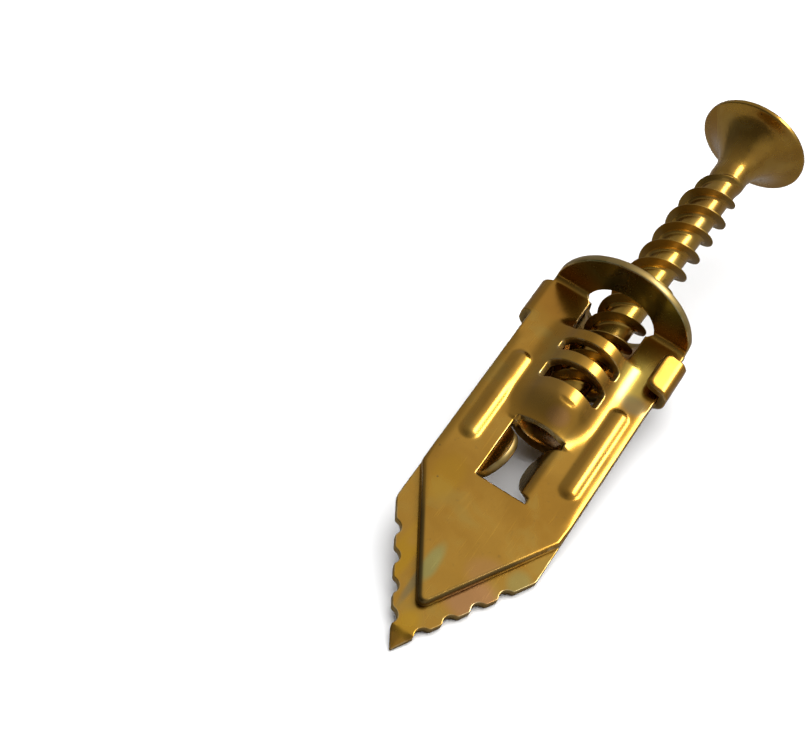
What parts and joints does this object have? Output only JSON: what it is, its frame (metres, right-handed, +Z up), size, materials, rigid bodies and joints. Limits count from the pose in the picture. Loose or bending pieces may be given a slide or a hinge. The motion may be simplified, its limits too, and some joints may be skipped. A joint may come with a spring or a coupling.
{
  "type": "drywall anchor",
  "caption": "Self-drilling drywall anchor: hooked sheet-steel plates with a saw-toothed point and a split flange, around a countersunk cross-recess screw.",
  "frame": {"origin": "centre of the underside of the bounding box of the anchor as it lies on a table", "axes": "+Z up; +Y along the anchor, towards the screw's head, the plates rise by 8.7 degrees towards +Y and the screw by 12.4 degrees; +X to the right, seen from the point"},
  "size_m": [0.0124, 0.0533, 0.0139],
  "materials": {
    "plate": "satin, yellow passivated zinc plating with faint tints",
    "screw": "glossy, yellow passivated zinc plating"
  },
  "bodies": {
    "long_plate": {"long_plate": "plate"},
    "short_plate": {"short_plate": "plate"},
    "screw": {"screw": "screw"}
  },
  "joints": [
    {"name": "screw_travel", "type": "slide", "parent": "long_plate", "child": "screw", "axis": [0.0585, 0.9751, 0.214], "range_m": [-0.001, 0.012]},
    {"name": "plate_spread", "type": "hinge", "parent": "long_plate", "child": "short_plate", "pos_m": [0, 0.00541, 0.00548], "axis": [-0.9609, -0.0417, 0.2737], "range_deg": [0, 3.2]}
  ]
}
